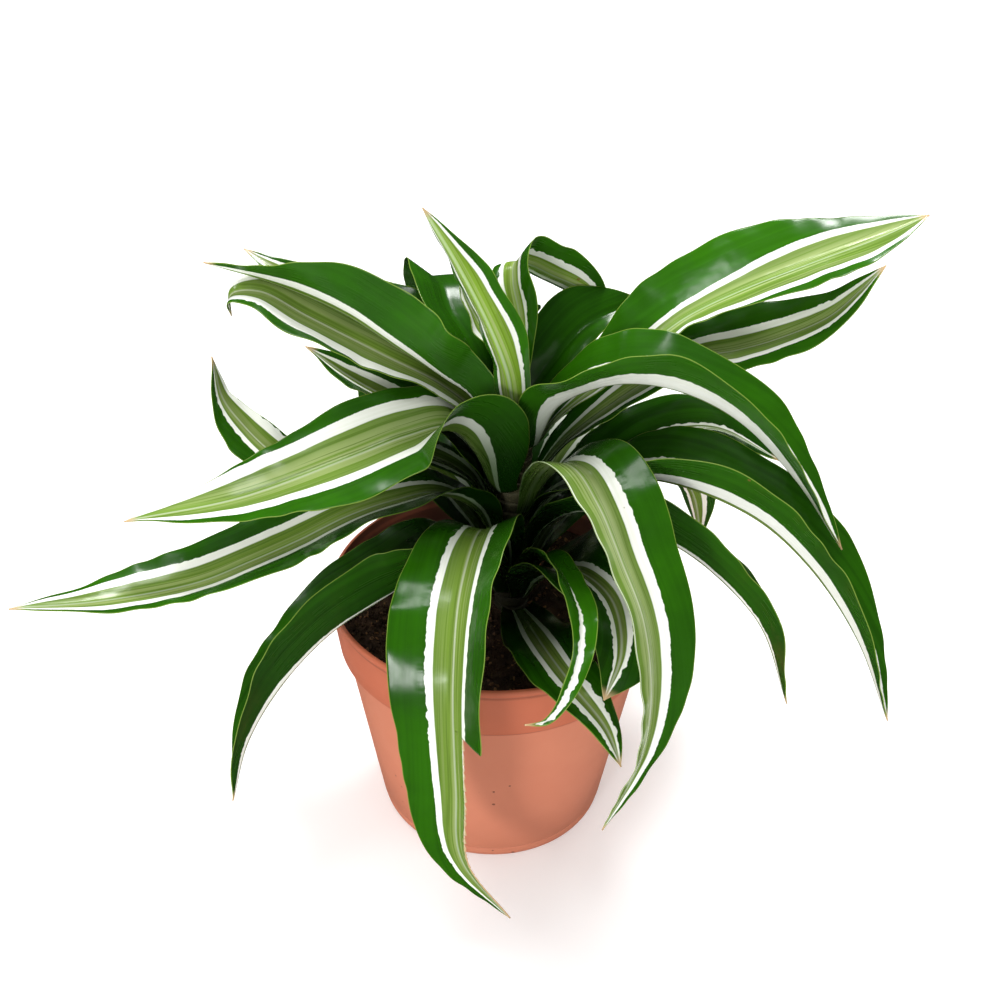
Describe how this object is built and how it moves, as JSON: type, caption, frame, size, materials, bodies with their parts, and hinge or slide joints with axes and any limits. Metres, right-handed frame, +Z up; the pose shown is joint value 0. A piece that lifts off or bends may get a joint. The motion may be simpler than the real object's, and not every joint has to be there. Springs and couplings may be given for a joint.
{
  "type": "potted dracaena",
  "caption": "Young dracaena with arching, white-striped strap leaves springing from a short stem, planted in soil in a tapered round nursery pot with a rolled rim collar.",
  "frame": {"origin": "middle of the pot's underside, on the plane it stands on", "axes": "+Z up along the pot's axis, -Y towards the front as pictured, +X to the right"},
  "size_m": [0.2892, 0.2204, 0.2434],
  "materials": {
    "pot_plastic": "terracotta-coloured moulded plastic, satin",
    "potting_soil": "dark fibrous potting mix, damp and matt",
    "green_stem": "pale green-brown stem with leaf scars",
    "leaf": "deep green blade with white stripes and a yellow-green centre, waxy gloss above and duller below",
    "young_leaf": "light yellow-green blade with white stripes, waxy"
  },
  "bodies": {
    "root": {"pot": "pot_plastic", "soil": "potting_soil", "stem": "green_stem", "leaf_heart_spear": "young_leaf", "leaf_heart_tall": "young_leaf", "leaf_heart_turned": "young_leaf", "leaf_back_upper": "leaf", "leaf_back_left_upper": "leaf", "leaf_back_right_short": "leaf", "leaf_upper_right": "leaf", "leaf_back_left_far": "leaf", "leaf_upper_left": "leaf", "leaf_right_arch": "leaf", "leaf_right_raised": "leaf", "leaf_left_curled": "leaf", "leaf_left_tucked": "leaf", "leaf_left_broad": "leaf", "leaf_back_left_middle": "leaf", "leaf_right_behind": "leaf", "leaf_right_long": "leaf", "leaf_front_right_arch": "leaf", "leaf_left_upturned": "leaf", "leaf_right_front_low": "leaf", "leaf_left_long": "leaf", "leaf_back_right_middle": "leaf", "leaf_front_hanging": "leaf", "leaf_back_middle": "leaf", "leaf_back_right_low": "leaf", "leaf_front_left_folded": "leaf", "leaf_back_left_low": "leaf", "leaf_front_hooked": "leaf", "leaf_front_right_dark": "leaf", "leaf_back_low": "leaf", "leaf_front_small": "leaf"}
  },
  "joints": []
}
